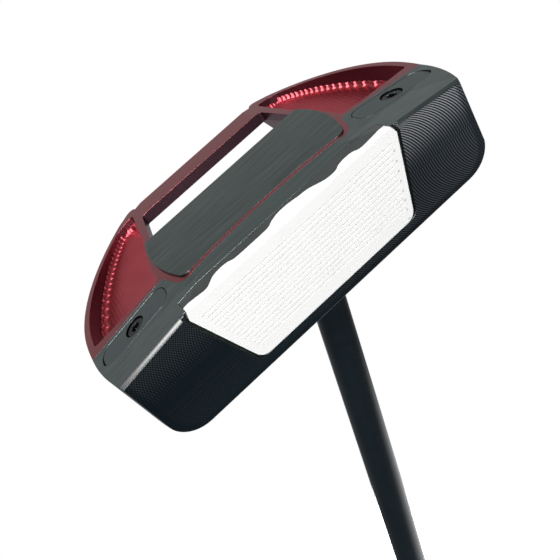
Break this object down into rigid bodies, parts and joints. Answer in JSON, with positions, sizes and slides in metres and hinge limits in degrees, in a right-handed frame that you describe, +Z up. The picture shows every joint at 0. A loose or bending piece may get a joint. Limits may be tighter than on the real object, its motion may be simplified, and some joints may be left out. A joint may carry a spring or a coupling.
{
  "type": "mallet putter",
  "caption": "Centre-shafted golf mallet putter: steel front body, white face insert, red rear body with a through slot, removable sole weights, black shaft and counterbalanced grip.",
  "frame": {"origin": "middle of the flat sole, on the sole plate, 30 mm behind the leading edge", "axes": "+X from toe to heel, +Y from face to rear, +Z up from the sole"},
  "size_m": [0.3679, 0.1298, 0.9196],
  "materials": {
    "front_steel": "dark grey-green coated stainless steel, satin sole, black milled face",
    "red_anodised": "red anodised machined aluminium, satin",
    "white_urethane": "white cast urethane with fine grooves",
    "grey_backer": "grey anodised aluminium, contoured front",
    "bond_film": "bonding film",
    "plate_steel": "dark coated steel plate, brushed along its length",
    "screw_steel": "zinc plated steel",
    "white_paint": "white filled line",
    "weight_steel": "dark coated steel weight, satin",
    "black_screw": "black oxide steel screw",
    "shaft_black": "gloss black coated steel tube",
    "plug_wood": "plain wooden plug",
    "black_plastic": "black nylon plug",
    "grip_foam": "dark closed-cell foam",
    "grip_skin": "black polyurethane skin, fine moulded texture"
  },
  "bodies": {
    "head": {"front_body": "front_steel", "rear_body": "red_anodised", "face_insert": "white_urethane", "insert_backer": "grey_backer", "insert_tape": "bond_film", "sole_plate": "plate_steel", "plate_tape": "bond_film", "body_screws": "screw_steel", "sight_line": "white_paint", "shaft": "shaft_black", "shaft_epoxy": "bond_film", "tip_plug": "plug_wood", "counterweight": "screw_steel", "counterweight_plug": "black_plastic", "grip_tape": "bond_film", "grip_core": "grip_foam", "grip_skin": "grip_skin", "grip_cap": "black_plastic"},
    "heel_weight": {"heel_weight": "weight_steel"},
    "heel_screw": {"heel_weight_screw": "black_screw"},
    "toe_weight": {"toe_weight": "weight_steel"},
    "toe_screw": {"toe_weight_screw": "black_screw"}
  },
  "joints": [
    {"name": "heel_weight_lift", "type": "slide", "parent": "head", "child": "heel_weight", "axis": [0.1483, 0, -0.9889], "range_m": [0, 0.007]},
    {"name": "heel_screw_turn", "type": "hinge", "parent": "heel_weight", "child": "heel_screw", "pos_m": [0.0418, -0.0124, 0.00297], "axis": [0.1483, 0, -0.9889], "range_deg": [0, 3600]},
    {"name": "toe_weight_lift", "type": "slide", "parent": "head", "child": "toe_weight", "axis": [-0.1483, 0, -0.9889], "range_m": [0, 0.007]},
    {"name": "toe_screw_turn", "type": "hinge", "parent": "toe_weight", "child": "toe_screw", "pos_m": [-0.0418, -0.0124, 0.00297], "axis": [-0.1483, 0, -0.9889], "range_deg": [0, 3600]}
  ],
  "couplings": [
    {"joint": "heel_screw_turn", "follows": "heel_weight_lift", "rad_per_m": 8975.9},
    {"joint": "toe_screw_turn", "follows": "toe_weight_lift", "rad_per_m": 8975.9}
  ]
}
